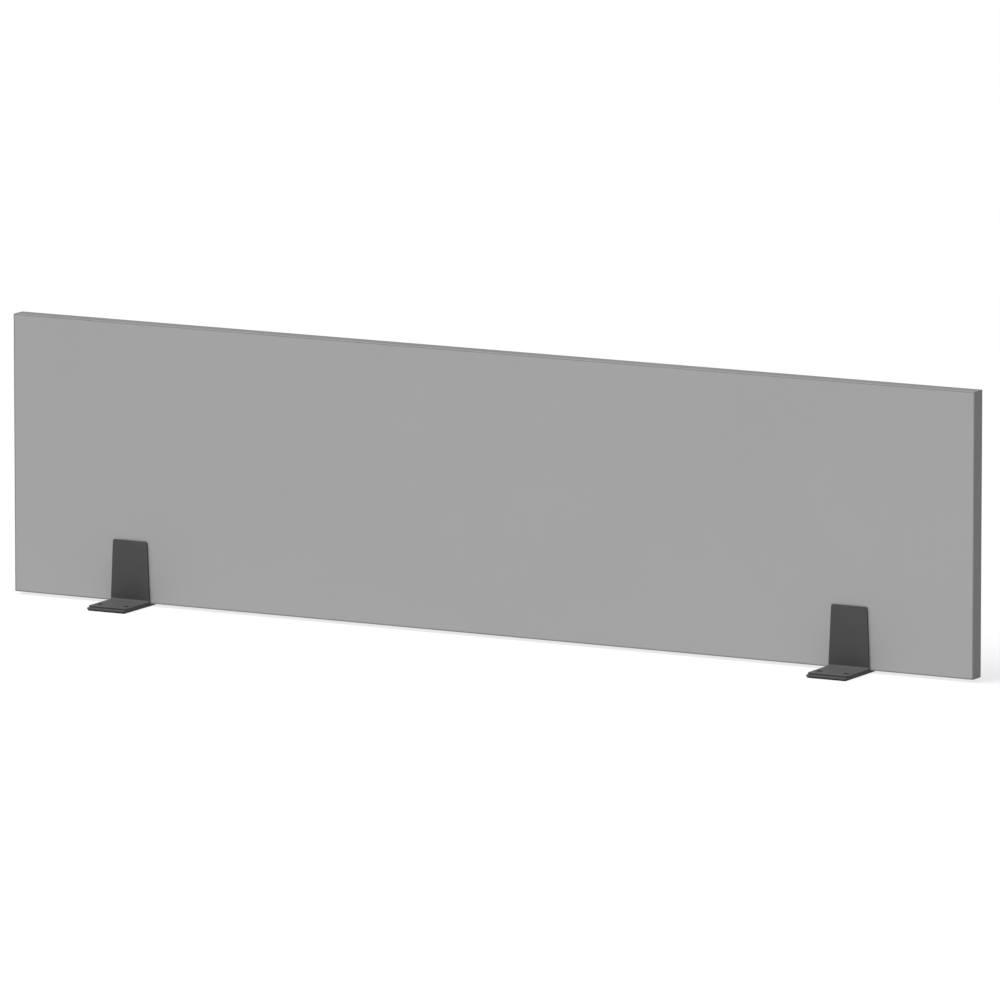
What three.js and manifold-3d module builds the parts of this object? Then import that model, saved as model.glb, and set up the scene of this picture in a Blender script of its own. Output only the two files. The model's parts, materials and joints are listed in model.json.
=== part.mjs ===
// Desk privacy panel: a melamine-faced board held upright by two steel brackets that stand on the desk top.
// Millimetres, +Z up. +X runs along the board, and the feet reach forward, towards -Y.
// The origin is on the desk top, at the middle of the whole object's length and depth.

import * as THREE from 'three';
import { mergeVertices } from 'three/addons/utils/BufferGeometryUtils.js';
import Module from 'manifold-3d';

const wasm = await Module();
wasm.setup();

// Board
const boardLength = 1600;
const boardHeight = 420;
const boardThickness = 25;
const laminateThickness = 0.8;
const bandThickness = 2;
const arrisRadius = 1;

// Brackets
const bracketInset = 200; // bracket centre line to the end of the board
const plateThickness = 2.5;
const frontBendRadius = 2.5; // inside radius of the front angle's bend
const uprightHeight = 93; // above the board's underside
const uprightTaper = 4; // how much narrower each side of the upright is at its top
const footWidth = 66;
const uprightCornerRadius = 3;
const footCornerRadius = 4;
const flangeReach = 70; // front angle's flange, forward of the board's front face
const baseLip = 6; // how far the rear angle's base plate shows in front of the flange

// Holes for screws into the desk top, through flange, base plate and pad
const deskHoleSideMargin = 11; // hole centre to the foot's side
const deskHoleFrontMargin = 20; // hole centre to the flange's front edge
const deskHoleDiameter = 10;
const padHoleMargin = 1; // the pad's hole is this much wider all round

// Pad under each base plate
const padThickness = 2;
const padInset = 1.5;

// Screws that clamp the board between the angles
const lowerScrewHeight = 28; // above the board's underside
const upperScrewMargin = 23; // below the upright's top
const screwDiameter = 5;
const screwTipGap = 3.5; // between the screw's tip and the front upright
const screwHeadDiameter = 9.5;
const screwHeadHeight = 2.75;
const screwRimHeight = 0.6; // straight edge of the head, below its dome
const socketAcrossFlats = 3;
const socketDepth = 1.6;
const washerDiameter = 10;
const washerThickness = 1;
const studWall = 0.75;
const studLength = 12;

// Clearances
const screwClearance = 0.3; // all round a screw in its hole, washer or thread
const studClearance = 0.4; // all round a stud in the board's bore
const bendClearance = 0.3; // between the board's arris and the rear angle's bend

// Smoothness
const holeSides = 24;
const cornerSegments = 6;
const cutMargin = 1; // how far a cutting tool reaches past what it cuts
const mergeDistance = 1e-4; // corners closer than this are one corner

// What follows from the values above
const baseTop = padThickness + plateThickness; // the board stands on the base plates
const boardTop = baseTop + boardHeight;
const uprightTop = baseTop + uprightHeight;
const baseReach = flangeReach + baseLip;
const deskHoleOffset = footWidth / 2 - deskHoleSideMargin;
const deskHoleSetback = flangeReach - deskHoleFrontMargin;
const rearBendRadius = arrisRadius - bendClearance;
const rearPlateBack = boardThickness + plateThickness;
const screwSeat = rearPlateBack + washerThickness;
const headBack = screwSeat + screwHeadHeight;
const screwHoleRadius = screwDiameter / 2 + screwClearance;
const studRadius = screwHoleRadius + studWall;
const boreRadius = studRadius + studClearance;
const bracketCentres = {
  left: bracketInset - boardLength / 2,
  right: boardLength / 2 - bracketInset,
};
const screwLevels = {
  lower: baseTop + lowerScrewHeight,
  upper: uprightTop - upperScrewMargin,
};

const finishes = {
  core: { color: 0xb79c74, roughness: 0.95, metalness: 0 },
  laminate: { color: 0xa6a6a6, roughness: 0.55, metalness: 0 },
  edging: { color: 0x9c9c9c, roughness: 0.5, metalness: 0 },
  powderCoat: { color: 0x4a4a4b, roughness: 0.6, metalness: 0.1 },
  pad: { color: 0x1d1d1e, roughness: 0.9, metalness: 0 },
  zinc: { color: 0xb9bcc0, roughness: 0.35, metalness: 1 },
};

// Solids

function solidOf(geometry) {
  const bare = geometry.clone();
  bare.deleteAttribute('normal');
  bare.deleteAttribute('uv');
  const merged = mergeVertices(bare, mergeDistance);
  return new wasm.Manifold(new wasm.Mesh({
    numProp: 3,
    vertProperties: new Float32Array(merged.attributes.position.array),
    triVerts: new Uint32Array(merged.index.array),
  }));
}

function geometryOf(solid) {
  const mesh = solid.getMesh();
  const geometry = new THREE.BufferGeometry();
  geometry.setAttribute('position', new THREE.BufferAttribute(mesh.vertProperties, 3));
  geometry.setIndex(new THREE.BufferAttribute(mesh.triVerts, 1));
  geometry.computeVertexNormals();
  return geometry;
}

function cut(solid, tools) {
  return tools.reduce((rest, tool) => rest.subtract(tool), solid);
}

// A box between two corners
function box(low, high) {
  const size = new THREE.Vector3().subVectors(high, low);
  const middle = new THREE.Vector3().addVectors(low, high).divideScalar(2);
  return new THREE.BoxGeometry(size.x, size.y, size.z).translate(middle.x, middle.y, middle.z);
}

function extrude(shape, depth) {
  return new THREE.ExtrudeGeometry(shape, { depth, bevelEnabled: false, curveSegments: cornerSegments });
}

// A (y, z) outline swept along X between two places
function sweepAlongX(shape, from, to) {
  const turn = new THREE.Matrix4().makeBasis(
    new THREE.Vector3(0, 1, 0),
    new THREE.Vector3(0, 0, 1),
    new THREE.Vector3(1, 0, 0),
  );
  return extrude(shape, to - from).applyMatrix4(turn).translate(from, 0, 0);
}

// An (x, z) outline swept along Y between two places
function sweepAlongY(shape, from, to) {
  return extrude(shape, to - from).rotateX(Math.PI / 2).translate(0, to, 0);
}

// An (x, y) outline swept along Z between two places
function sweepAlongZ(shape, from, to) {
  return extrude(shape, to - from).translate(0, 0, from);
}

// A round bar along Y
function barAlongY(x, z, radius, from, to, sides = holeSides) {
  return new THREE.CylinderGeometry(radius, radius, to - from, sides).translate(x, (from + to) / 2, z);
}

// A round bar along Z
function barAlongZ(x, y, radius, from, to) {
  return new THREE.CylinderGeometry(radius, radius, to - from, holeSides)
    .rotateX(Math.PI / 2)
    .translate(x, y, (from + to) / 2);
}

// Outlines

function rectangle(left, bottom, right, top, radius) {
  const shape = new THREE.Shape();
  shape.moveTo(left + radius, bottom);
  shape.lineTo(right - radius, bottom);
  shape.absarc(right - radius, bottom + radius, radius, -Math.PI / 2, 0);
  shape.lineTo(right, top - radius);
  shape.absarc(right - radius, top - radius, radius, 0, Math.PI / 2);
  shape.lineTo(left + radius, top);
  shape.absarc(left + radius, top - radius, radius, Math.PI / 2, Math.PI);
  shape.lineTo(left, bottom + radius);
  shape.absarc(left + radius, bottom + radius, radius, Math.PI, Math.PI * 1.5);
  return shape;
}

// Front view of an upright: as wide as the foot up to the bend, then tapering to a round-cornered top
function uprightOutline(centre, bottom, taperStart) {
  const half = footWidth / 2;
  const topHalf = half - uprightTaper;
  const lean = Math.atan2(uprightTaper, uprightTop - taperStart);
  const cornerRun = uprightCornerRadius * Math.tan((Math.PI / 2 - lean) / 2);
  const cornerX = topHalf - cornerRun;
  const cornerZ = uprightTop - uprightCornerRadius;
  const shape = new THREE.Shape();
  shape.moveTo(centre - half, bottom);
  shape.lineTo(centre + half, bottom);
  shape.lineTo(centre + half, taperStart);
  shape.absarc(centre + cornerX, cornerZ, uprightCornerRadius, lean, Math.PI / 2);
  shape.absarc(centre - cornerX, cornerZ, uprightCornerRadius, Math.PI / 2, Math.PI - lean);
  shape.lineTo(centre - half, taperStart);
  return shape;
}

// Side view of a plate bent into an L: the flat part runs forward, and the upright rises at wallFront
function angleProfile(reach, underside, wallFront, bendRadius) {
  const wallBack = wallFront + plateThickness;
  const outerRadius = bendRadius + plateThickness;
  const bendY = wallFront - bendRadius;
  const bendZ = underside + outerRadius;
  const shape = new THREE.Shape();
  shape.moveTo(-reach, underside);
  shape.lineTo(bendY, underside);
  shape.absarc(bendY, bendZ, outerRadius, -Math.PI / 2, 0);
  shape.lineTo(wallBack, uprightTop);
  shape.lineTo(wallFront, uprightTop);
  shape.lineTo(wallFront, bendZ);
  shape.absarc(bendY, bendZ, bendRadius, 0, -Math.PI / 2, true);
  shape.lineTo(-reach, underside + plateThickness);
  return shape;
}

// Board

function boardBores(from, to) {
  const bores = [];
  for (const centre of Object.values(bracketCentres)) {
    for (const level of Object.values(screwLevels)) {
      bores.push(solidOf(barAlongY(centre, level, boreRadius, from - cutMargin, to + cutMargin)));
    }
  }
  return bores;
}

// A layer of the board inside the edge bands
function boardLayer(front, back) {
  const end = boardLength / 2 - bandThickness;
  const layer = box(
    new THREE.Vector3(-end, front, baseTop + bandThickness),
    new THREE.Vector3(end, back, boardTop - bandThickness),
  );
  return geometryOf(cut(solidOf(layer), boardBores(front, back)));
}

// The whole board as one block with its arrises rounded, which trims every edge band
function boardEnvelope() {
  const end = boardLength / 2;
  const plan = rectangle(-end, 0, end, boardThickness, arrisRadius);
  const side = rectangle(0, baseTop, boardThickness, boardTop, arrisRadius);
  return solidOf(sweepAlongZ(plan, baseTop, boardTop)).intersect(solidOf(sweepAlongX(side, -end, end)));
}

function edgeBand(envelope, left, bottom, right, top) {
  const strip = box(
    new THREE.Vector3(left, 0, bottom),
    new THREE.Vector3(right, boardThickness, top),
  );
  return geometryOf(envelope.intersect(solidOf(strip)));
}

// The bands along the top and bottom run the whole length, and the end bands stand between them
function edgeBands() {
  const envelope = boardEnvelope();
  const end = boardLength / 2;
  const innerEnd = end - bandThickness;
  const low = baseTop + bandThickness;
  const high = boardTop - bandThickness;
  return {
    top_edge_band: edgeBand(envelope, -end, high, end, boardTop),
    bottom_edge_band: edgeBand(envelope, -end, baseTop, end, low),
    left_edge_band: edgeBand(envelope, -end, low, -innerEnd, high),
    right_edge_band: edgeBand(envelope, innerEnd, low, end, high),
  };
}

// Brackets

function deskHoles(centre, radius, from, to) {
  const places = [centre - deskHoleOffset, centre + deskHoleOffset];
  return places.map((x) => solidOf(
    barAlongZ(x, -deskHoleSetback, radius, from - cutMargin, to + cutMargin),
  ));
}

// A bent plate trimmed to the foot's corners seen from above and to the upright's taper seen from the front
function bentAngle(centre, reach, underside, wallFront, bendRadius) {
  const half = footWidth / 2;
  const wallBack = wallFront + plateThickness;
  const bent = sweepAlongX(
    angleProfile(reach, underside, wallFront, bendRadius),
    centre - half,
    centre + half,
  );
  const plan = rectangle(
    centre - half,
    -reach,
    centre + half,
    wallBack + footCornerRadius + cutMargin,
    footCornerRadius,
  );
  const taperStart = underside + plateThickness + bendRadius;
  const front = uprightOutline(centre, underside - cutMargin, taperStart);
  return solidOf(bent)
    .intersect(solidOf(sweepAlongZ(plan, underside - cutMargin, uprightTop + cutMargin)))
    .intersect(solidOf(sweepAlongY(front, -reach - cutMargin, wallBack + cutMargin)));
}

function frontAngle(centre) {
  const flangeTop = baseTop + plateThickness;
  const plate = bentAngle(centre, flangeReach, baseTop, -plateThickness, frontBendRadius);
  return geometryOf(cut(plate, deskHoles(centre, deskHoleDiameter / 2, baseTop, flangeTop)));
}

function rearAngle(centre) {
  const plate = bentAngle(centre, baseReach, padThickness, boardThickness, rearBendRadius);
  const screwHoles = Object.values(screwLevels).map((level) => solidOf(
    barAlongY(centre, level, screwHoleRadius, boardThickness - cutMargin, rearPlateBack + cutMargin),
  ));
  return geometryOf(cut(plate, [
    ...deskHoles(centre, deskHoleDiameter / 2, padThickness, baseTop),
    ...screwHoles,
  ]));
}

function footPad(centre) {
  const half = footWidth / 2 - padInset;
  const back = boardThickness - rearBendRadius - padInset;
  const outline = rectangle(
    centre - half,
    padInset - baseReach,
    centre + half,
    back,
    footCornerRadius - padInset,
  );
  const holes = deskHoles(centre, deskHoleDiameter / 2 + padHoleMargin, 0, padThickness);
  return geometryOf(cut(solidOf(sweepAlongZ(outline, 0, padThickness)), holes));
}

function tubeAlongY(x, z, outerRadius, innerRadius, from, to) {
  const outside = solidOf(barAlongY(x, z, outerRadius, from, to));
  const bore = solidOf(barAlongY(x, z, innerRadius, from - cutMargin, to + cutMargin));
  return geometryOf(outside.subtract(bore));
}

// Threaded sleeve welded to the back of the front upright, inside the board's bore
function weldStud(x, z) {
  return tubeAlongY(x, z, studRadius, screwHoleRadius, 0, studLength);
}

function washer(x, z) {
  return tubeAlongY(x, z, washerDiameter / 2, screwHoleRadius, rearPlateBack, screwSeat);
}

// Button-head screw with a hexagon socket, driven forward from behind
function screw(x, z) {
  const headRadius = screwHeadDiameter / 2;
  const shankRadius = screwDiameter / 2;
  const tip = screwTipGap - screwSeat;
  const domeHeight = screwHeadHeight - screwRimHeight;
  const dome = new THREE.EllipseCurve(0, screwRimHeight, headRadius, domeHeight, 0, Math.PI / 2);
  const profile = [
    new THREE.Vector2(0, tip),
    new THREE.Vector2(shankRadius, tip),
    new THREE.Vector2(shankRadius, 0),
    new THREE.Vector2(headRadius, 0),
    ...dome.getPoints(cornerSegments),
  ];
  const body = new THREE.LatheGeometry(profile, holeSides).translate(x, screwSeat, z);
  const socketRadius = socketAcrossFlats / 2 / Math.cos(Math.PI / 6);
  const hexagonSides = 6;
  const socket = barAlongY(x, z, socketRadius, headBack - socketDepth, headBack + cutMargin, hexagonSides);
  return geometryOf(solidOf(body).subtract(solidOf(socket)));
}

// Assembly

const panel = new THREE.Group();
const frontmost = -baseReach;
panel.position.y = -(frontmost + headBack) / 2;

function add(name, geometry, finish) {
  const mesh = new THREE.Mesh(geometry, new THREE.MeshStandardMaterial(finish));
  mesh.name = name;
  panel.add(mesh);
}

const coreBack = boardThickness - laminateThickness;
add('panel_core', boardLayer(laminateThickness, coreBack), finishes.core);
add('front_laminate', boardLayer(0, laminateThickness), finishes.laminate);
add('rear_laminate', boardLayer(coreBack, boardThickness), finishes.laminate);
for (const [name, geometry] of Object.entries(edgeBands())) {
  add(name, geometry, finishes.edging);
}

for (const [side, centre] of Object.entries(bracketCentres)) {
  add(`${side}_front_angle`, frontAngle(centre), finishes.powderCoat);
  add(`${side}_rear_angle`, rearAngle(centre), finishes.powderCoat);
  add(`${side}_foot_pad`, footPad(centre), finishes.pad);
  for (const [level, height] of Object.entries(screwLevels)) {
    add(`${side}_${level}_weld_stud`, weldStud(centre, height), finishes.zinc);
    add(`${side}_${level}_screw`, screw(centre, height), finishes.zinc);
    add(`${side}_${level}_washer`, washer(centre, height), finishes.zinc);
  }
}

export default panel;
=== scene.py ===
"""Desk privacy panel: an edge-banded melamine board clamped between two pairs of bent steel plates."""

import json
import math

import bmesh
import bpy
from mathutils import Matrix, Vector


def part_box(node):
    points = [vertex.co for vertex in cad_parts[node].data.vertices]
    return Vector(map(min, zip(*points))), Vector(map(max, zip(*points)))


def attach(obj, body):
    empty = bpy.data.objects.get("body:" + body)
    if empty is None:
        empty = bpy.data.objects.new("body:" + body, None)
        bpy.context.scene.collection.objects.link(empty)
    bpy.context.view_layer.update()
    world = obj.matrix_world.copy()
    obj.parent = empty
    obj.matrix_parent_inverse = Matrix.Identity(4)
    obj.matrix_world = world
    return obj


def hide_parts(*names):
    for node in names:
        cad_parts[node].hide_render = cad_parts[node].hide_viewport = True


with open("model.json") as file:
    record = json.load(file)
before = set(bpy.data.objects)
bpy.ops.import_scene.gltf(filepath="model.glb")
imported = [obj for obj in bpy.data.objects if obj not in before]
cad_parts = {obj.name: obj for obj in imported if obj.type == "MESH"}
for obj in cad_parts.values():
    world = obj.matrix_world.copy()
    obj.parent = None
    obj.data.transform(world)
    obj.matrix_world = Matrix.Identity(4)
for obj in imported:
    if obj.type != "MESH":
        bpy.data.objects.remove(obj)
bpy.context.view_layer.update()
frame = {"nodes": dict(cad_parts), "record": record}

MM = 0.001
SIDES = ("left", "right")
LEVELS = ("lower", "upper")

# Board
ARRIS = 1 * MM  # rounding of the edging's outer edges
SEAM = 0.15 * MM  # chamfer where edging and face sheet meet
BORE_CLEARANCE = 0.4 * MM  # all round a sleeve in the board

# Bent steel plates
FRONT_BEND = 2.5 * MM  # inside radius
REAR_BEND = 0.7 * MM  # inside radius
TAPER = 4 * MM  # how much narrower each side of an upright is at its top
UPRIGHT_CORNER = 3 * MM
FOOT_CORNER = 4 * MM
DEBURR = 0.35 * MM
DESK_HOLE = 5 * MM  # radius
SCREW_HOLE = 2.8 * MM  # radius in the rear upright, the washer and the sleeve

# Rubber pads
PAD_HOLE = 6 * MM  # radius
PAD_CORNER = 2.5 * MM
PAD_EDGE = 0.3 * MM

# Button-head screws, washers and sleeves
SHANK = 2.5 * MM  # radius
RIM = 0.6 * MM  # straight edge of the head, below its dome
SOCKET_FLATS = 3 * MM
SOCKET_DEPTH = 1.6 * MM
SOCKET_TURN = math.radians(23)  # each screw stops a little further round than the last
FINE_CHAMFER = 0.15 * MM
THREAD_CHAMFER = 0.5 * MM

# Smoothness
ROUND = 48  # steps round a hole or a screw
CORNER = 8  # steps round a corner or an arris
BEND = 12  # steps round a bend
SHARP = math.radians(30)
SQUARE = 0.9999  # share of a face's normal along one axis, when it looks straight along it
SAME_POINT = 1e-7  # metres
ON_LINE = 1e-6  # metres from a fold line
SEAM_STEPS = 1  # steps round a seam
EDGE_STEPS = 2  # steps round a deburred edge
HEXAGON = 6

# Greys, as the share of light given back
MELAMINE_DARK = 0.305
MELAMINE_LIGHT = 0.32
EDGING_DARK = 0.204
EDGING_LIGHT = 0.218
EDGING_RUBBED = 0.25
COATING_DARK = 0.06
COATING_LIGHT = 0.072
COATING_RUBBED = 0.1
RUBBER_DARK = 0.011
RUBBER_LIGHT = 0.02
RUBBER_RUBBED = 0.04
FLOOR_SHADE = 0.15
FLOOR_DRIFT = 0.01
FLOOR_GLOW = 0.78

# Colours
ZINC_CLOUDY = (0.5, 0.52, 0.55, 1)
ZINC_BRIGHT = (0.68, 0.69, 0.7, 1)
WOOD_DARK = (0.36, 0.23, 0.11, 1)
WOOD_LIGHT = (0.47, 0.33, 0.17, 1)
CHIP_PALE = (0.6, 0.46, 0.27, 1)
CHIP_GAP = (0.14, 0.08, 0.04, 1)

# Strength of the reflections that don't depend on colour, where 0.5 is plain plastic
EDGING_SHEEN = 0.25
COATING_SHEEN = 0.08
FLOOR_SHEEN = 0.1

# Camera and light
CAMERA_AZIMUTH = math.radians(28.43)
CAMERA_ELEVATION = math.radians(9.3)
CAMERA_DISTANCE = 19.64
CAMERA_LENS = 482.7
AIM_RIGHT = 25.1 * MM  # of the board's middle
AIM_HEIGHT = 202.4 * MM  # above the board's underside
CLIP_END = 200
FLOOR_SIZE = 120
OVERHEAD = (-0.39, -0.385, 1)  # where the main light stands: above, a little left and in front
OVERHEAD_STRENGTH = 5.3
OVERHEAD_SPREAD = math.radians(45)
SURROUNDINGS = 0.05
BACKDROP = 0.95


# ---------------------------------------------------------------- meshes


def crease(bm, is_flat):
    """Smooth shading everywhere, with a crease at each sharp edge and where a flat face meets a rounding."""
    for face in bm.faces:
        face.smooth = True
    for edge in bm.edges:
        flats = [is_flat(face) for face in edge.link_faces]
        edge.smooth = edge.calc_face_angle(0) < SHARP and len(set(flats)) < 2


def square_on(face):
    """True for a face that looks straight along X, Y or Z."""
    return max(abs(part) for part in face.normal) > SQUARE


def lies_flat(face):
    """True for a face that looks straight up or down."""
    return abs(face.normal.z) > SQUARE


def edges_of(verts):
    """Each edge that meets any of these points, once, in a steady order."""
    return list(dict.fromkeys(edge for vert in verts for edge in vert.link_edges))


def sharp_edges(bm):
    return [edge for edge in bm.edges if edge.calc_face_angle(0) > SHARP]


def round_edges(bm, edges, width, segments):
    return bmesh.ops.bevel(
        bm,
        geom=edges,
        offset=width,
        offset_type="OFFSET",
        affect="EDGES",
        segments=segments,
        profile=0.5,
        material=-1,
        clamp_overlap=False,
    )


def mark_rubbed(bm, rounded):
    """Notes the middle of each rounded edge in an attribute, which the coatings read as wear."""
    layer = bm.verts.layers.float.new("rub")
    rounded = set(rounded)
    for vert in bm.verts:
        vert[layer] = float(all(face in rounded for face in vert.link_faces))


def block(low, high):
    bm = bmesh.new()
    bmesh.ops.create_cube(bm, size=1)
    bmesh.ops.scale(bm, vec=high - low, verts=bm.verts)
    bmesh.ops.translate(bm, vec=(low + high) / 2, verts=bm.verts)
    return bm


def flat_plate(outline, holes, thickness):
    """A plate lying in XY. Outline corners are (x, y, corner radius), and holes are (x, y, radius)."""
    bm = bmesh.new()
    corners = [bm.verts.new((x, y, 0)) for x, y, _ in outline]
    bm.faces.new(corners)
    for corner, (_, _, radius) in zip(corners, outline):
        if radius:
            bmesh.ops.bevel(
                bm,
                geom=[corner],
                offset=radius,
                affect="VERTICES",
                segments=CORNER,
                profile=0.5,
                material=-1,
            )
    for x, y, radius in holes:
        place = Matrix.Translation((x, y, 0))
        bmesh.ops.create_circle(bm, cap_ends=False, radius=radius, segments=ROUND, matrix=place)
    bmesh.ops.delete(bm, geom=bm.faces[:], context="FACES_ONLY")
    bmesh.ops.triangle_fill(bm, use_beauty=True, edges=bm.edges[:], normal=(0, 0, 1))
    raised = bmesh.ops.extrude_face_region(bm, geom=bm.faces[:])["geom"]
    top = [item for item in raised if isinstance(item, bmesh.types.BMVert)]
    bmesh.ops.translate(bm, vec=(0, 0, thickness), verts=top)
    bmesh.ops.recalc_face_normals(bm, faces=bm.faces[:])
    return bm


def steady_order(parts, place):
    """Numbers points or faces by where they are, so that every run writes them in the same order."""
    rank = {part: number for number, part in enumerate(sorted(parts, key=place))}
    parts.sort(key=rank.get)


def finish_mesh(bm, name):
    steady_order(bm.verts, lambda vert: vert.co[:])
    steady_order(bm.faces, lambda face: sorted(vert.co[:] for vert in face.verts))
    mesh = bpy.data.meshes.new(name)
    bm.to_mesh(mesh)
    bm.free()
    piece = bpy.data.objects.new(name, mesh)
    bpy.context.scene.collection.objects.link(piece)
    return piece


def fit(piece, finish, node):
    """Gives a piece its finish and lets it stand for its CAD node."""
    piece.data.materials.append(finish)
    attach(piece, "root")
    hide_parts(node)
    return piece


# ---------------------------------------------------------------- board


def sleeve_places():
    """Centre and radius of each threaded sleeve, seen along Y."""
    places = []
    for side in SIDES:
        for level in LEVELS:
            low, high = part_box(f"{side}_{level}_weld_stud")
            middle = (low + high) / 2
            places.append((middle.x, middle.z, (high.x - low.x) / 2))
    return places


def face_sheet(name, node, finish):
    low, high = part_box(node)
    outline = [
        (low.x, low.z, 0),
        (high.x, low.z, 0),
        (high.x, high.z, 0),
        (low.x, high.z, 0),
    ]
    bores = [(x, z, radius + BORE_CLEARANCE) for x, z, radius in sleeve_places()]
    bm = flat_plate(outline, bores, high.y - low.y)
    round_edges(bm, sharp_edges(bm), SEAM, SEAM_STEPS)
    stand_up = Matrix.Translation((0, high.y, 0)) @ Matrix.Rotation(math.radians(90), 4, "X")
    bmesh.ops.transform(bm, matrix=stand_up, verts=bm.verts)
    crease(bm, square_on)
    return fit(finish_mesh(bm, name), finish, node)


def edging(name, node, outward, finish):
    """A strip of edging with rounded arrises. The long strips show their ends, so those are rounded too."""
    low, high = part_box(node)
    bm = block(low, high)
    outward = Vector(outward)
    reach = max(vert.co.dot(outward) for vert in bm.verts)
    outer = [vert for vert in bm.verts if reach - vert.co.dot(outward) < SEAM]
    arrises = edges_of(outer)
    if not outward.z:
        arrises = [edge for edge in arrises if abs(edge.verts[0].co.z - edge.verts[1].co.z) > ARRIS]
    round_edges(bm, arrises, ARRIS, CORNER)
    mark_rubbed(bm, [face for face in bm.faces if not square_on(face)])
    round_edges(bm, sharp_edges(bm), SEAM, SEAM_STEPS)
    crease(bm, square_on)
    return fit(finish_mesh(bm, name), finish, node)


# ---------------------------------------------------------------- brackets


def plate_thickness(side):
    """The rear plate lies between the pad and the front plate's flange."""
    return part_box(f"{side}_front_angle")[0].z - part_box(f"{side}_foot_pad")[1].z


def desk_holes(side, radius):
    holes = []
    for opening in frame["record"]["physics"]["openings"]:
        if opening["name"].startswith(f"{side}_foot"):
            low, high = (Vector(corner) for corner in opening["box_m"])
            middle = (low + high) / 2
            holes.append((middle.x, middle.y, radius))
    return holes


def bent_plate(name, node, side, bend_radius, screw_heights, finish):
    """A blank cut flat, drilled, deburred and then folded up behind its foot, as on a press brake."""
    low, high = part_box(node)
    thickness = plate_thickness(side)
    wall = high.y - thickness  # front of the upright
    bend_start = wall - bend_radius
    bend_centre = low.z + thickness + bend_radius
    bend_length = (bend_radius + thickness / 2) * math.pi / 2
    bend_end = bend_start + bend_length
    top = bend_end + high.z - bend_centre
    outline = [
        (low.x, low.y, FOOT_CORNER),
        (high.x, low.y, FOOT_CORNER),
        (high.x, bend_end, 0),
        (high.x - TAPER, top, UPRIGHT_CORNER),
        (low.x + TAPER, top, UPRIGHT_CORNER),
        (low.x, bend_end, 0),
    ]
    middle = (low.x + high.x) / 2
    holes = desk_holes(side, DESK_HOLE)
    screw_holes = [(middle, bend_end + height - bend_centre, SCREW_HOLE) for height in screw_heights]
    bm = flat_plate(outline, holes + screw_holes, thickness)
    mark_rubbed(bm, round_edges(bm, sharp_edges(bm), DEBURR, EDGE_STEPS)["faces"])
    for step in range(BEND + 1):
        cut = Vector((0, bend_start + bend_length * step / BEND, 0))
        everything = bm.verts[:] + bm.edges[:] + bm.faces[:]
        bmesh.ops.bisect_plane(bm, geom=everything, dist=SAME_POINT, plane_co=cut, plane_no=(0, 1, 0))
    crease(bm, lies_flat)
    for edge in bm.edges:
        if all(min(abs(v.co.y - bend_start), abs(v.co.y - bend_end)) < ON_LINE for v in edge.verts):
            edge.smooth = False
    for vert in bm.verts:
        depth = thickness - vert.co.z  # below the face that ends up inside the bend
        fold = min(max((vert.co.y - bend_start) / bend_length, 0), 1) * math.pi / 2
        before = min(vert.co.y - bend_start, 0)
        after = max(vert.co.y - bend_end, 0)
        reach = bend_radius + depth
        vert.co.y = bend_start + before + reach * math.sin(fold)
        vert.co.z = bend_centre + after - reach * math.cos(fold)
    return fit(finish_mesh(bm, name), finish, node)


def rubber_pad(name, node, side, finish):
    low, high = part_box(node)
    outline = [
        (low.x, low.y, PAD_CORNER),
        (high.x, low.y, PAD_CORNER),
        (high.x, high.y, PAD_CORNER),
        (low.x, high.y, PAD_CORNER),
    ]
    bm = flat_plate(outline, desk_holes(side, PAD_HOLE), high.z - low.z)
    bmesh.ops.translate(bm, vec=(0, 0, low.z), verts=bm.verts)
    mark_rubbed(bm, round_edges(bm, sharp_edges(bm), PAD_EDGE, EDGE_STEPS)["faces"])
    crease(bm, square_on)
    return fit(finish_mesh(bm, name), finish, node)


# ---------------------------------------------------------------- hardware


def turned(profile, closed):
    """A turned part: its outline, as (radius, height) points, spun once round Z."""
    bm = bmesh.new()
    verts = [bm.verts.new((radius, 0, height)) for radius, height in profile]
    pairs = list(zip(verts, verts[1:]))
    if closed:
        pairs.append((verts[-1], verts[0]))
    edges = [bm.edges.new(pair) for pair in pairs]
    bmesh.ops.spin(
        bm,
        geom=verts + edges,
        cent=(0, 0, 0),
        axis=(0, 0, 1),
        angle=math.tau,
        steps=ROUND,
        use_merge=True,
    )
    bmesh.ops.remove_doubles(bm, verts=bm.verts[:], dist=SAME_POINT)
    bmesh.ops.recalc_face_normals(bm, faces=bm.faces[:])
    return bm


def seat_along_y(bm, place, turn=0):
    """Points the part's Z along +Y and moves its origin to a place."""
    move = (
        Matrix.Translation(place)
        @ Matrix.Rotation(math.radians(-90), 4, "X")
        @ Matrix.Rotation(turn, 4, "Z")
    )
    bmesh.ops.transform(bm, matrix=move, verts=bm.verts)


def ring(name, node, inner, chamfer, finish):
    """A washer or a sleeve: a tube along Y with its edges broken."""
    low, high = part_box(node)
    outer = (high.x - low.x) / 2
    length = high.y - low.y
    profile = [
        (inner + chamfer, 0),
        (outer - chamfer, 0),
        (outer, chamfer),
        (outer, length - chamfer),
        (outer - chamfer, length),
        (inner + chamfer, length),
        (inner, length - chamfer),
        (inner, chamfer),
    ]
    bm = turned(profile, closed=True)
    crease(bm, lies_flat)
    middle = (low + high) / 2
    seat_along_y(bm, (middle.x, low.y, middle.z))
    return fit(finish_mesh(bm, name), finish, node)


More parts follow.
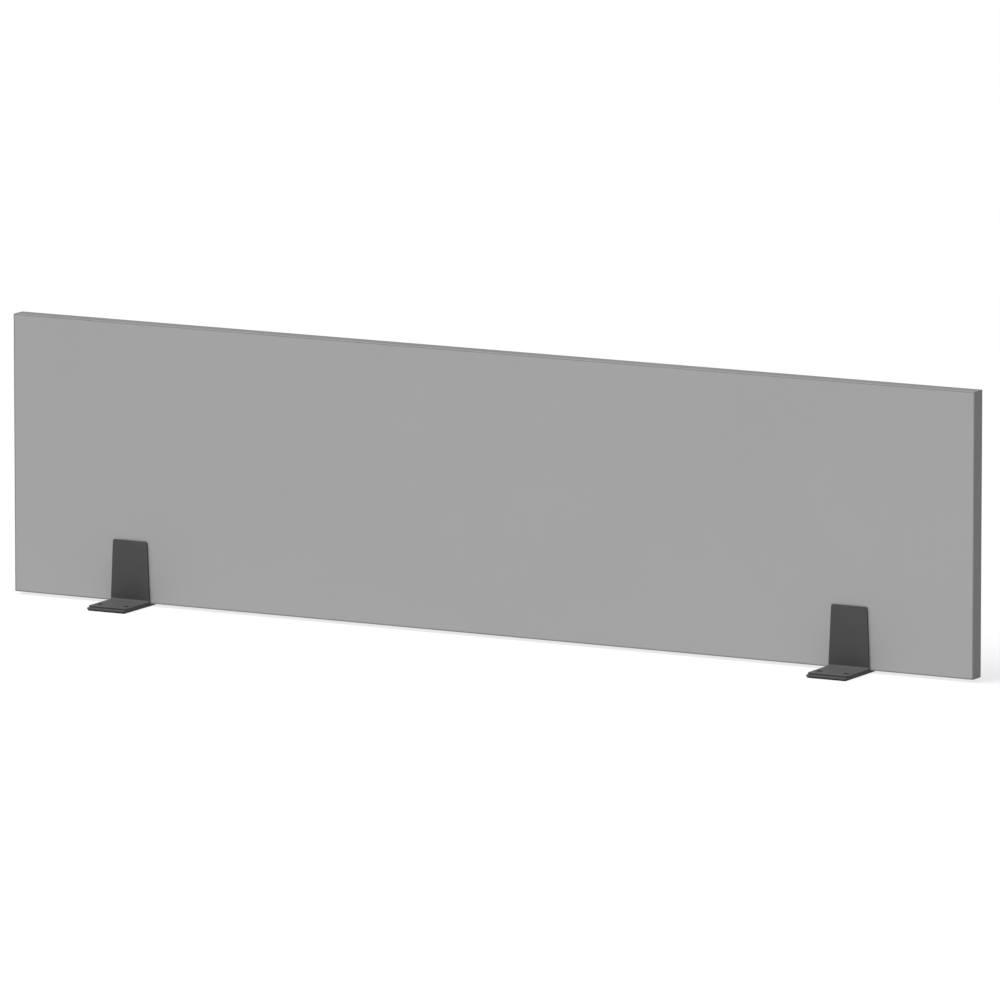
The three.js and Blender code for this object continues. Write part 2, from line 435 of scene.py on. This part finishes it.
def button_screw(name, node, turn, finish):
    """Domed head with a hexagon socket, over a shank with a chamfered tip."""
    low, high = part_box(node)
    head = (high.x - low.x) / 2
    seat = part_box(node.replace("screw", "washer"))[1].y
    dome = high.y - seat - RIM
    socket = SOCKET_FLATS / 2 / math.cos(math.pi / HEXAGON)
    lip = math.asin((socket + FINE_CHAMFER) / head)  # the dome stops here
    arc = [math.pi / 2 - (math.pi / 2 - lip) * step / CORNER for step in range(CORNER + 1)]
    profile = [
        (0, low.y - seat),
        (SHANK - THREAD_CHAMFER, low.y - seat),
        (SHANK, low.y - seat + THREAD_CHAMFER),
        (SHANK, 0),
        (head - FINE_CHAMFER, 0),
        (head, FINE_CHAMFER),
        *[(head * math.sin(a), RIM + dome * math.cos(a)) for a in arc],
    ]
    bm = turned(profile, closed=False)
    rim = [edge for edge in bm.edges if edge.is_boundary]
    top = rim[0].verts[0].co.z
    hexagon = bmesh.ops.create_circle(bm, cap_ends=False, radius=socket, segments=HEXAGON)["verts"]
    bmesh.ops.translate(bm, vec=(0, 0, top), verts=hexagon)
    sides = edges_of(hexagon)
    split = bmesh.ops.subdivide_edges(bm, edges=sides, cuts=ROUND // HEXAGON - 1)
    cut = split["geom_inner"] + split["geom_split"]
    new_edges = [item for item in cut if isinstance(item, bmesh.types.BMEdge)]
    mouth = [edge for edge in dict.fromkeys(new_edges + sides) if edge.is_valid and edge.is_wire]
    bmesh.ops.bridge_loops(bm, edges=rim + mouth)
    walls = bmesh.ops.extrude_edge_only(bm, edges=mouth)["geom"]
    bottom = [item for item in walls if isinstance(item, bmesh.types.BMVert)]
    bmesh.ops.translate(bm, vec=(0, 0, -SOCKET_DEPTH), verts=bottom)
    floor_edges = [edge for edge in bm.edges if edge.is_boundary]
    bmesh.ops.contextual_create(bm, geom=floor_edges)
    bmesh.ops.recalc_face_normals(bm, faces=bm.faces[:])
    crease(bm, lies_flat)
    middle = (low + high) / 2
    seat_along_y(bm, (middle.x, seat, middle.z), turn)
    return fit(finish_mesh(bm, name), finish, node)


# ---------------------------------------------------------------- node trees


def find(sockets, label):
    return next((s for s in sockets if s.identifier == label), None) or sockets[label]


def feed(tree, socket, value):
    """Links a socket, or sets it to a plain value."""
    if isinstance(value, bpy.types.NodeSocket):
        tree.links.new(value, socket)
    else:
        socket.default_value = value


def add(tree, kind, result, inputs, **settings):
    """Adds a node and returns one of its outputs."""
    node = tree.nodes.new(kind)
    for key, value in settings.items():
        setattr(node, key, value)
    for label, value in inputs.items():
        feed(tree, find(node.inputs, label), value)
    return find(node.outputs, result)


def use(tree, group, inputs):
    """Places a node group and returns its outputs."""
    node = tree.nodes.new("ShaderNodeGroup")
    node.node_tree = group
    for label, value in inputs.items():
        feed(tree, node.inputs[label], value)
    return node.outputs


def stretch(tree, value, low, high, to_low=0, to_high=1):
    """Spreads low..high over to_low..to_high."""
    limits = {
        "Value": value,
        "From Min": low,
        "From Max": high,
        "To Min": to_low,
        "To Max": to_high,
    }
    return add(tree, "ShaderNodeMapRange", "Result", limits)


def blend_colours(tree, share, first, second):
    colours = {
        "Factor_Float": share,
        "A_Color": first,
        "B_Color": second,
    }
    return add(tree, "ShaderNodeMix", "Result_Color", colours, data_type="RGBA")


def blend_numbers(tree, share, first, second):
    numbers = {
        "Factor_Float": share,
        "A_Float": first,
        "B_Float": second,
    }
    return add(tree, "ShaderNodeMix", "Result_Float", numbers)


def multiply(tree, first, second):
    return add(tree, "ShaderNodeMath", "Value", {"Value": first, "Value_001": second}, operation="MULTIPLY")


def noise(tree, place, scale, detail, roughness):
    settings = {
        "Vector": place,
        "Scale": scale,
        "Detail": detail,
        "Roughness": roughness,
    }
    return add(tree, "ShaderNodeTexNoise", "Fac", settings)


def new_group(name, inputs, outputs):
    tree = bpy.data.node_groups.new(name, "ShaderNodeTree")
    kinds = {
        "number": "NodeSocketFloat",
        "vector": "NodeSocketVector",
        "colour": "NodeSocketColor",
    }
    for direction, sockets in (("INPUT", inputs), ("OUTPUT", outputs)):
        for label, kind in sockets.items():
            tree.interface.new_socket(name=label, in_out=direction, socket_type=kinds[kind])
    given = tree.nodes.new("NodeGroupInput").outputs
    result = tree.nodes.new("NodeGroupOutput").inputs
    return tree, given, result


def grain_group():
    """A pressed or sprayed surface: rolling hills with small round pits in them."""
    tree, given, result = new_group(
        "Grain",
        {"Place": "vector", "Hills per metre": "number", "Pits per metre": "number", "Pit share": "number"},
        {"Height": "number"},
    )
    hills = noise(tree, given["Place"], given["Hills per metre"], detail=2.0, roughness=0.5)
    cells = {
        "Vector": given["Place"],
        "Scale": given["Pits per metre"],
        "Smoothness": 0.7,
    }
    pits = add(tree, "ShaderNodeTexVoronoi", "Distance", cells, feature="SMOOTH_F1")
    feed(tree, result["Height"], blend_numbers(tree, given["Pit share"], hills, pits))
    return tree


def mottle_group():
    """Drifts between two close colours, slowly over the piece and with finer specks on top."""
    tree, given, result = new_group(
        "Mottle",
        {
            "Place": "vector",
            "Drifts per metre": "number",
            "Specks per metre": "number",
            "Speck share": "number",
            "First": "colour",
            "Second": "colour",
        },
        {"Colour": "colour", "Share": "number"},
    )
    drift = noise(tree, given["Place"], given["Drifts per metre"], detail=4.0, roughness=0.6)
    specks = noise(tree, given["Place"], given["Specks per metre"], detail=2.0, roughness=0.6)
    both = blend_numbers(tree, given["Speck share"], drift, specks)
    share = stretch(tree, both, 0.35, 0.65)
    feed(tree, result["Colour"], blend_colours(tree, share, given["First"], given["Second"]))
    feed(tree, result["Share"], share)
    return tree


def rub_group():
    """Wear in patches along the edges that the mesh marks, where a coating has been handled."""
    tree, given, result = new_group(
        "Edge rub",
        {
            "Place": "vector",
            "Patches per metre": "number",
            "Wear": "number",
            "Coating": "colour",
            "Rubbed": "colour",
        },
        {"Colour": "colour", "Share": "number"},
    )
    edge = add(tree, "ShaderNodeAttribute", "Fac", {}, attribute_name="rub")
    clouds = noise(tree, given["Place"], given["Patches per metre"], detail=5.0, roughness=0.65)
    patches = stretch(tree, clouds, 0.4, 0.7)
    share = multiply(tree, multiply(tree, edge, patches), given["Wear"])
    feed(tree, result["Colour"], blend_colours(tree, share, given["Coating"], given["Rubbed"]))
    feed(tree, result["Share"], share)
    return tree


def lines_group():
    """Fine lines along the piece's own X, as drawing or brushing leaves them."""
    tree, given, result = new_group(
        "Drawn lines",
        {"Place": "vector", "Lines per metre": "number"},
        {"Height": "number"},
    )
    long = {"Vector": given["Place"], "Scale": (0.01, 1, 1)}
    drawn = add(tree, "ShaderNodeMapping", "Vector", long)
    feed(tree, result["Height"], noise(tree, drawn, given["Lines per metre"], detail=3.0, roughness=0.7))
    return tree


def grey(value):
    return (value, value, value, 1)


def new_finish(name):
    finish = bpy.data.materials.new(name)
    finish.use_nodes = True
    tree = finish.node_tree
    place = tree.nodes.new("ShaderNodeTexCoord").outputs["Object"]
    return finish, tree, tree.nodes["Principled BSDF"], place


def emboss(tree, shader, height, depth, strength):
    """Raises the surface by height times depth, in metres."""
    relief = {
        "Height": height,
        "Distance": depth,
        "Strength": strength,
    }
    feed(tree, shader.inputs["Normal"], add(tree, "ShaderNodeBump", "Normal", relief))


def melamine_finish(grain, mottle):
    """Light grey decor paper under clear melamine, pressed with a fine pearl grain."""
    finish, tree, shader, place = new_finish("Melamine")
    decor = use(tree, mottle, {
        "Place": place,
        "Drifts per metre": 3.0,
        "Specks per metre": 900.0,
        "Speck share": 0.55,
        "First": grey(MELAMINE_DARK),
        "Second": grey(MELAMINE_LIGHT),
    })
    feed(tree, shader.inputs["Base Color"], decor["Colour"])
    feed(tree, shader.inputs["Roughness"], stretch(tree, decor["Share"], 0, 1, to_low=0.44, to_high=0.52))
    pearl = use(tree, grain, {
        "Place": place,
        "Hills per metre": 900.0,
        "Pits per metre": 1500.0,
        "Pit share": 0.4,
    })
    emboss(tree, shader, pearl["Height"], depth=0.04 * MM, strength=0.6)
    return finish


def edging_finish(name, turn, mottle, lines, rub):
    """Solid-coloured plastic edging, a shade darker than the faces, scraped smooth along its length."""
    finish, tree, shader, place = new_finish(name)
    shader.inputs["Specular IOR Level"].default_value = EDGING_SHEEN
    along = add(tree, "ShaderNodeMapping", "Vector", {"Vector": place, "Rotation": turn})
    plastic = use(tree, mottle, {
        "Place": place,
        "Drifts per metre": 6.0,
        "Specks per metre": 1400.0,
        "Speck share": 0.4,
        "First": grey(EDGING_DARK),
        "Second": grey(EDGING_LIGHT),
    })
    worn = use(tree, rub, {
        "Place": place,
        "Patches per metre": 60.0,
        "Wear": 0.25,
        "Coating": plastic["Colour"],
        "Rubbed": grey(EDGING_RUBBED),
    })
    feed(tree, shader.inputs["Base Color"], worn["Colour"])
    feed(tree, shader.inputs["Roughness"], stretch(tree, plastic["Share"], 0, 1, to_low=0.4, to_high=0.5))
    scraped = use(tree, lines, {"Place": along, "Lines per metre": 2500.0})
    emboss(tree, shader, scraped["Height"], depth=0.03 * MM, strength=0.4)
    return finish


def coating_finish(grain, mottle, rub):
    """Fine-textured dark grey powder coat, a little lighter where its edges are handled."""
    finish, tree, shader, place = new_finish("Powder_coat")
    shader.inputs["Specular IOR Level"].default_value = COATING_SHEEN
    powder = use(tree, mottle, {
        "Place": place,
        "Drifts per metre": 14.0,
        "Specks per metre": 1800.0,
        "Speck share": 0.6,
        "First": grey(COATING_DARK),
        "Second": grey(COATING_LIGHT),
    })
    worn = use(tree, rub, {
        "Place": place,
        "Patches per metre": 90.0,
        "Wear": 0.5,
        "Coating": powder["Colour"],
        "Rubbed": grey(COATING_RUBBED),
    })
    feed(tree, shader.inputs["Base Color"], worn["Colour"])
    dull = stretch(tree, powder["Share"], 0, 1, to_low=0.5, to_high=0.62)
    feed(tree, shader.inputs["Roughness"], blend_numbers(tree, worn["Share"], dull, 0.32))
    texture = use(tree, grain, {
        "Place": place,
        "Hills per metre": 650.0,
        "Pits per metre": 1300.0,
        "Pit share": 0.35,
    })
    emboss(tree, shader, texture["Height"], depth=0.06 * MM, strength=0.7)
    return finish


def rubber_finish(grain, mottle, rub):
    """Matt black rubber sheet, with a grey bloom and cut edges."""
    finish, tree, shader, place = new_finish("Rubber")
    bloom = use(tree, mottle, {
        "Place": place,
        "Drifts per metre": 40.0,
        "Specks per metre": 2000.0,
        "Speck share": 0.4,
        "First": grey(RUBBER_DARK),
        "Second": grey(RUBBER_LIGHT),
    })
    worn = use(tree, rub, {
        "Place": place,
        "Patches per metre": 150.0,
        "Wear": 0.6,
        "Coating": bloom["Colour"],
        "Rubbed": grey(RUBBER_RUBBED),
    })
    feed(tree, shader.inputs["Base Color"], worn["Colour"])
    feed(tree, shader.inputs["Roughness"], stretch(tree, bloom["Share"], 0, 1, to_low=0.75, to_high=0.92))
    skin = use(tree, grain, {
        "Place": place,
        "Hills per metre": 500.0,
        "Pits per metre": 900.0,
        "Pit share": 0.6,
    })
    emboss(tree, shader, skin["Height"], depth=0.08 * MM, strength=0.8)
    return finish


def zinc_finish(mottle, lines):
    """Bright zinc plating over turned steel, slightly cloudy and finely scratched."""
    finish, tree, shader, place = new_finish("Zinc")
    shader.inputs["Metallic"].default_value = 1
    plating = use(tree, mottle, {
        "Place": place,
        "Drifts per metre": 250.0,
        "Specks per metre": 2500.0,
        "Speck share": 0.35,
        "First": ZINC_CLOUDY,
        "Second": ZINC_BRIGHT,
    })
    feed(tree, shader.inputs["Base Color"], plating["Colour"])
    scratches = use(tree, lines, {"Place": place, "Lines per metre": 4000.0})
    scratched = stretch(tree, scratches["Height"], 0.3, 0.7, to_low=0.22, to_high=0.42)
    feed(tree, shader.inputs["Roughness"], scratched)
    emboss(tree, shader, scratches["Height"], depth=0.01 * MM, strength=0.5)
    return finish


def particle_board_finish(mottle):
    """Pressed wood chips, each its own shade, with dark gaps between them."""
    finish, tree, shader, place = new_finish("Particle_board")
    flat = add(tree, "ShaderNodeMapping", "Vector", {"Vector": place, "Scale": (0.45, 1.6, 0.8)})
    cells = {"Vector": flat, "Scale": 320.0}
    shade = add(tree, "ShaderNodeTexVoronoi", "Color", cells)
    gap = add(tree, "ShaderNodeTexVoronoi", "Distance", cells, feature="DISTANCE_TO_EDGE")
    chip = add(tree, "ShaderNodeRGBToBW", "Val", {"Color": shade})
    wood = use(tree, mottle, {
        "Place": place,
        "Drifts per metre": 30.0,
        "Specks per metre": 1500.0,
        "Speck share": 0.5,
        "First": WOOD_DARK,
        "Second": WOOD_LIGHT,
    })
    pale = blend_colours(tree, chip, wood["Colour"], CHIP_PALE)
    solid = stretch(tree, gap, 0, 0.06)
    feed(tree, shader.inputs["Base Color"], blend_colours(tree, solid, CHIP_GAP, pale))
    feed(tree, shader.inputs["Roughness"], stretch(tree, chip, 0, 1, to_low=0.85, to_high=0.98))
    emboss(tree, shader, solid, depth=0.3 * MM, strength=0.7)
    return finish


def floor_finish():
    """A pale acrylic table top, lit from below so that shadows stay light."""
    finish, tree, shader, place = new_finish("Floor")
    clouds = noise(tree, place, 0.7, detail=3.0, roughness=0.5)
    shade = stretch(tree, clouds, 0.3, 0.7, FLOOR_SHADE - FLOOR_DRIFT, FLOOR_SHADE + FLOOR_DRIFT)
    feed(tree, shader.inputs["Base Color"], shade)
    shader.inputs["Roughness"].default_value = 0.9
    shader.inputs["Specular IOR Level"].default_value = FLOOR_SHEEN
    shader.inputs["Emission Color"].default_value = grey(1)
    shader.inputs["Emission Strength"].default_value = FLOOR_GLOW
    return finish


# ---------------------------------------------------------------- assembly

grain = grain_group()
mottle = mottle_group()
rub = rub_group()
lines = lines_group()

melamine = melamine_finish(grain, mottle)
long_edging = edging_finish("Edging_long", (0, 0, 0), mottle, lines, rub)
end_edging = edging_finish("Edging_ends", (0, math.radians(90), 0), mottle, lines, rub)
coating = coating_finish(grain, mottle, rub)
rubber = rubber_finish(grain, mottle, rub)
zinc = zinc_finish(mottle, lines)
particle_board = particle_board_finish(mottle)

frame["nodes"]["panel_core"].data.materials.clear()
frame["nodes"]["panel_core"].data.materials.append(particle_board)

face_sheet("front_face", "front_laminate", melamine)
face_sheet("rear_face", "rear_laminate", melamine)
edging("top_edging", "top_edge_band", (0, 0, 1), long_edging)
edging("bottom_edging", "bottom_edge_band", (0, 0, -1), long_edging)
edging("left_edging", "left_edge_band", (-1, 0, 0), end_edging)
edging("right_edging", "right_edge_band", (1, 0, 0), end_edging)

for side in SIDES:
    heights = []
    for level in LEVELS:
        low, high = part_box(f"{side}_{level}_screw")
        heights.append((low.z + high.z) / 2)
    bent_plate(f"{side}_front_plate", f"{side}_front_angle", side, FRONT_BEND, [], coating)
    bent_plate(f"{side}_rear_plate", f"{side}_rear_angle", side, REAR_BEND, heights, coating)
    rubber_pad(f"{side}_pad", f"{side}_foot_pad", side, rubber)
    for number, level in enumerate(LEVELS):
        turn = SOCKET_TURN * (number + 1 + len(LEVELS) * SIDES.index(side))
        stem = f"{side}_{level}"
        button_screw(f"{stem}_button_screw", f"{stem}_screw", turn, zinc)
        ring(f"{stem}_flat_washer", f"{stem}_washer", SCREW_HOLE, FINE_CHAMFER, zinc)
        ring(f"{stem}_sleeve", f"{stem}_weld_stud", SCREW_HOLE, FINE_CHAMFER, zinc)


# ---------------------------------------------------------------- studio


def floor():
    bm = bmesh.new()
    bmesh.ops.create_grid(bm, x_segments=1, y_segments=1, size=FLOOR_SIZE / 2)
    plane = finish_mesh(bm, "floor")
    plane.data.materials.append(floor_finish())


def sky():
    """Dim surroundings for the light, and a pale backdrop where the camera sees past the floor."""
    world = bpy.data.worlds.new("Studio")
    bpy.context.scene.world = world
    world.use_nodes = True
    tree = world.node_tree
    tree.nodes.clear()
    dim = add(tree, "ShaderNodeBackground", "Background", {"Color": grey(1), "Strength": SURROUNDINGS})
    pale = add(tree, "ShaderNodeBackground", "Background", {"Color": grey(1), "Strength": BACKDROP})
    seen = add(tree, "ShaderNodeLightPath", "Is Camera Ray", {})
    both = add(tree, "ShaderNodeMixShader", "Shader", {"Fac": seen, "Shader": dim, "Shader_001": pale})
    feed(tree, tree.nodes.new("ShaderNodeOutputWorld").inputs["Surface"], both)


def softbox(name, toward, strength, spread):
    """A far, wide, even light that shines from the given direction."""
    lamp = bpy.data.lights.new(name, "SUN")
    lamp.energy = strength
    lamp.angle = spread
    box = bpy.data.objects.new(name, lamp)
    box.rotation_euler = Vector(toward).to_track_quat("Z", "Y").to_euler()
    bpy.context.scene.collection.objects.link(box)


def camera():
    lens = bpy.data.cameras.new("camera")
    lens.lens = CAMERA_LENS
    lens.clip_end = CLIP_END
    eye = bpy.data.objects.new("camera", lens)
    face_low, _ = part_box("front_laminate")
    board_low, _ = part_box("bottom_edge_band")
    aim = Vector((AIM_RIGHT, face_low.y, board_low.z + AIM_HEIGHT))
    level = math.cos(CAMERA_ELEVATION)
    back = Vector((
        math.sin(CAMERA_AZIMUTH) * level,
        -math.cos(CAMERA_AZIMUTH) * level,
        math.sin(CAMERA_ELEVATION),
    ))
    eye.location = aim + back * CAMERA_DISTANCE
    eye.rotation_euler = back.to_track_quat("Z", "Y").to_euler()
    bpy.context.scene.collection.objects.link(eye)
    bpy.context.scene.camera = eye


floor()
sky()
softbox("overhead_softbox", OVERHEAD, OVERHEAD_STRENGTH, OVERHEAD_SPREAD)
camera()
bpy.context.scene.view_settings.view_transform = "Standard"
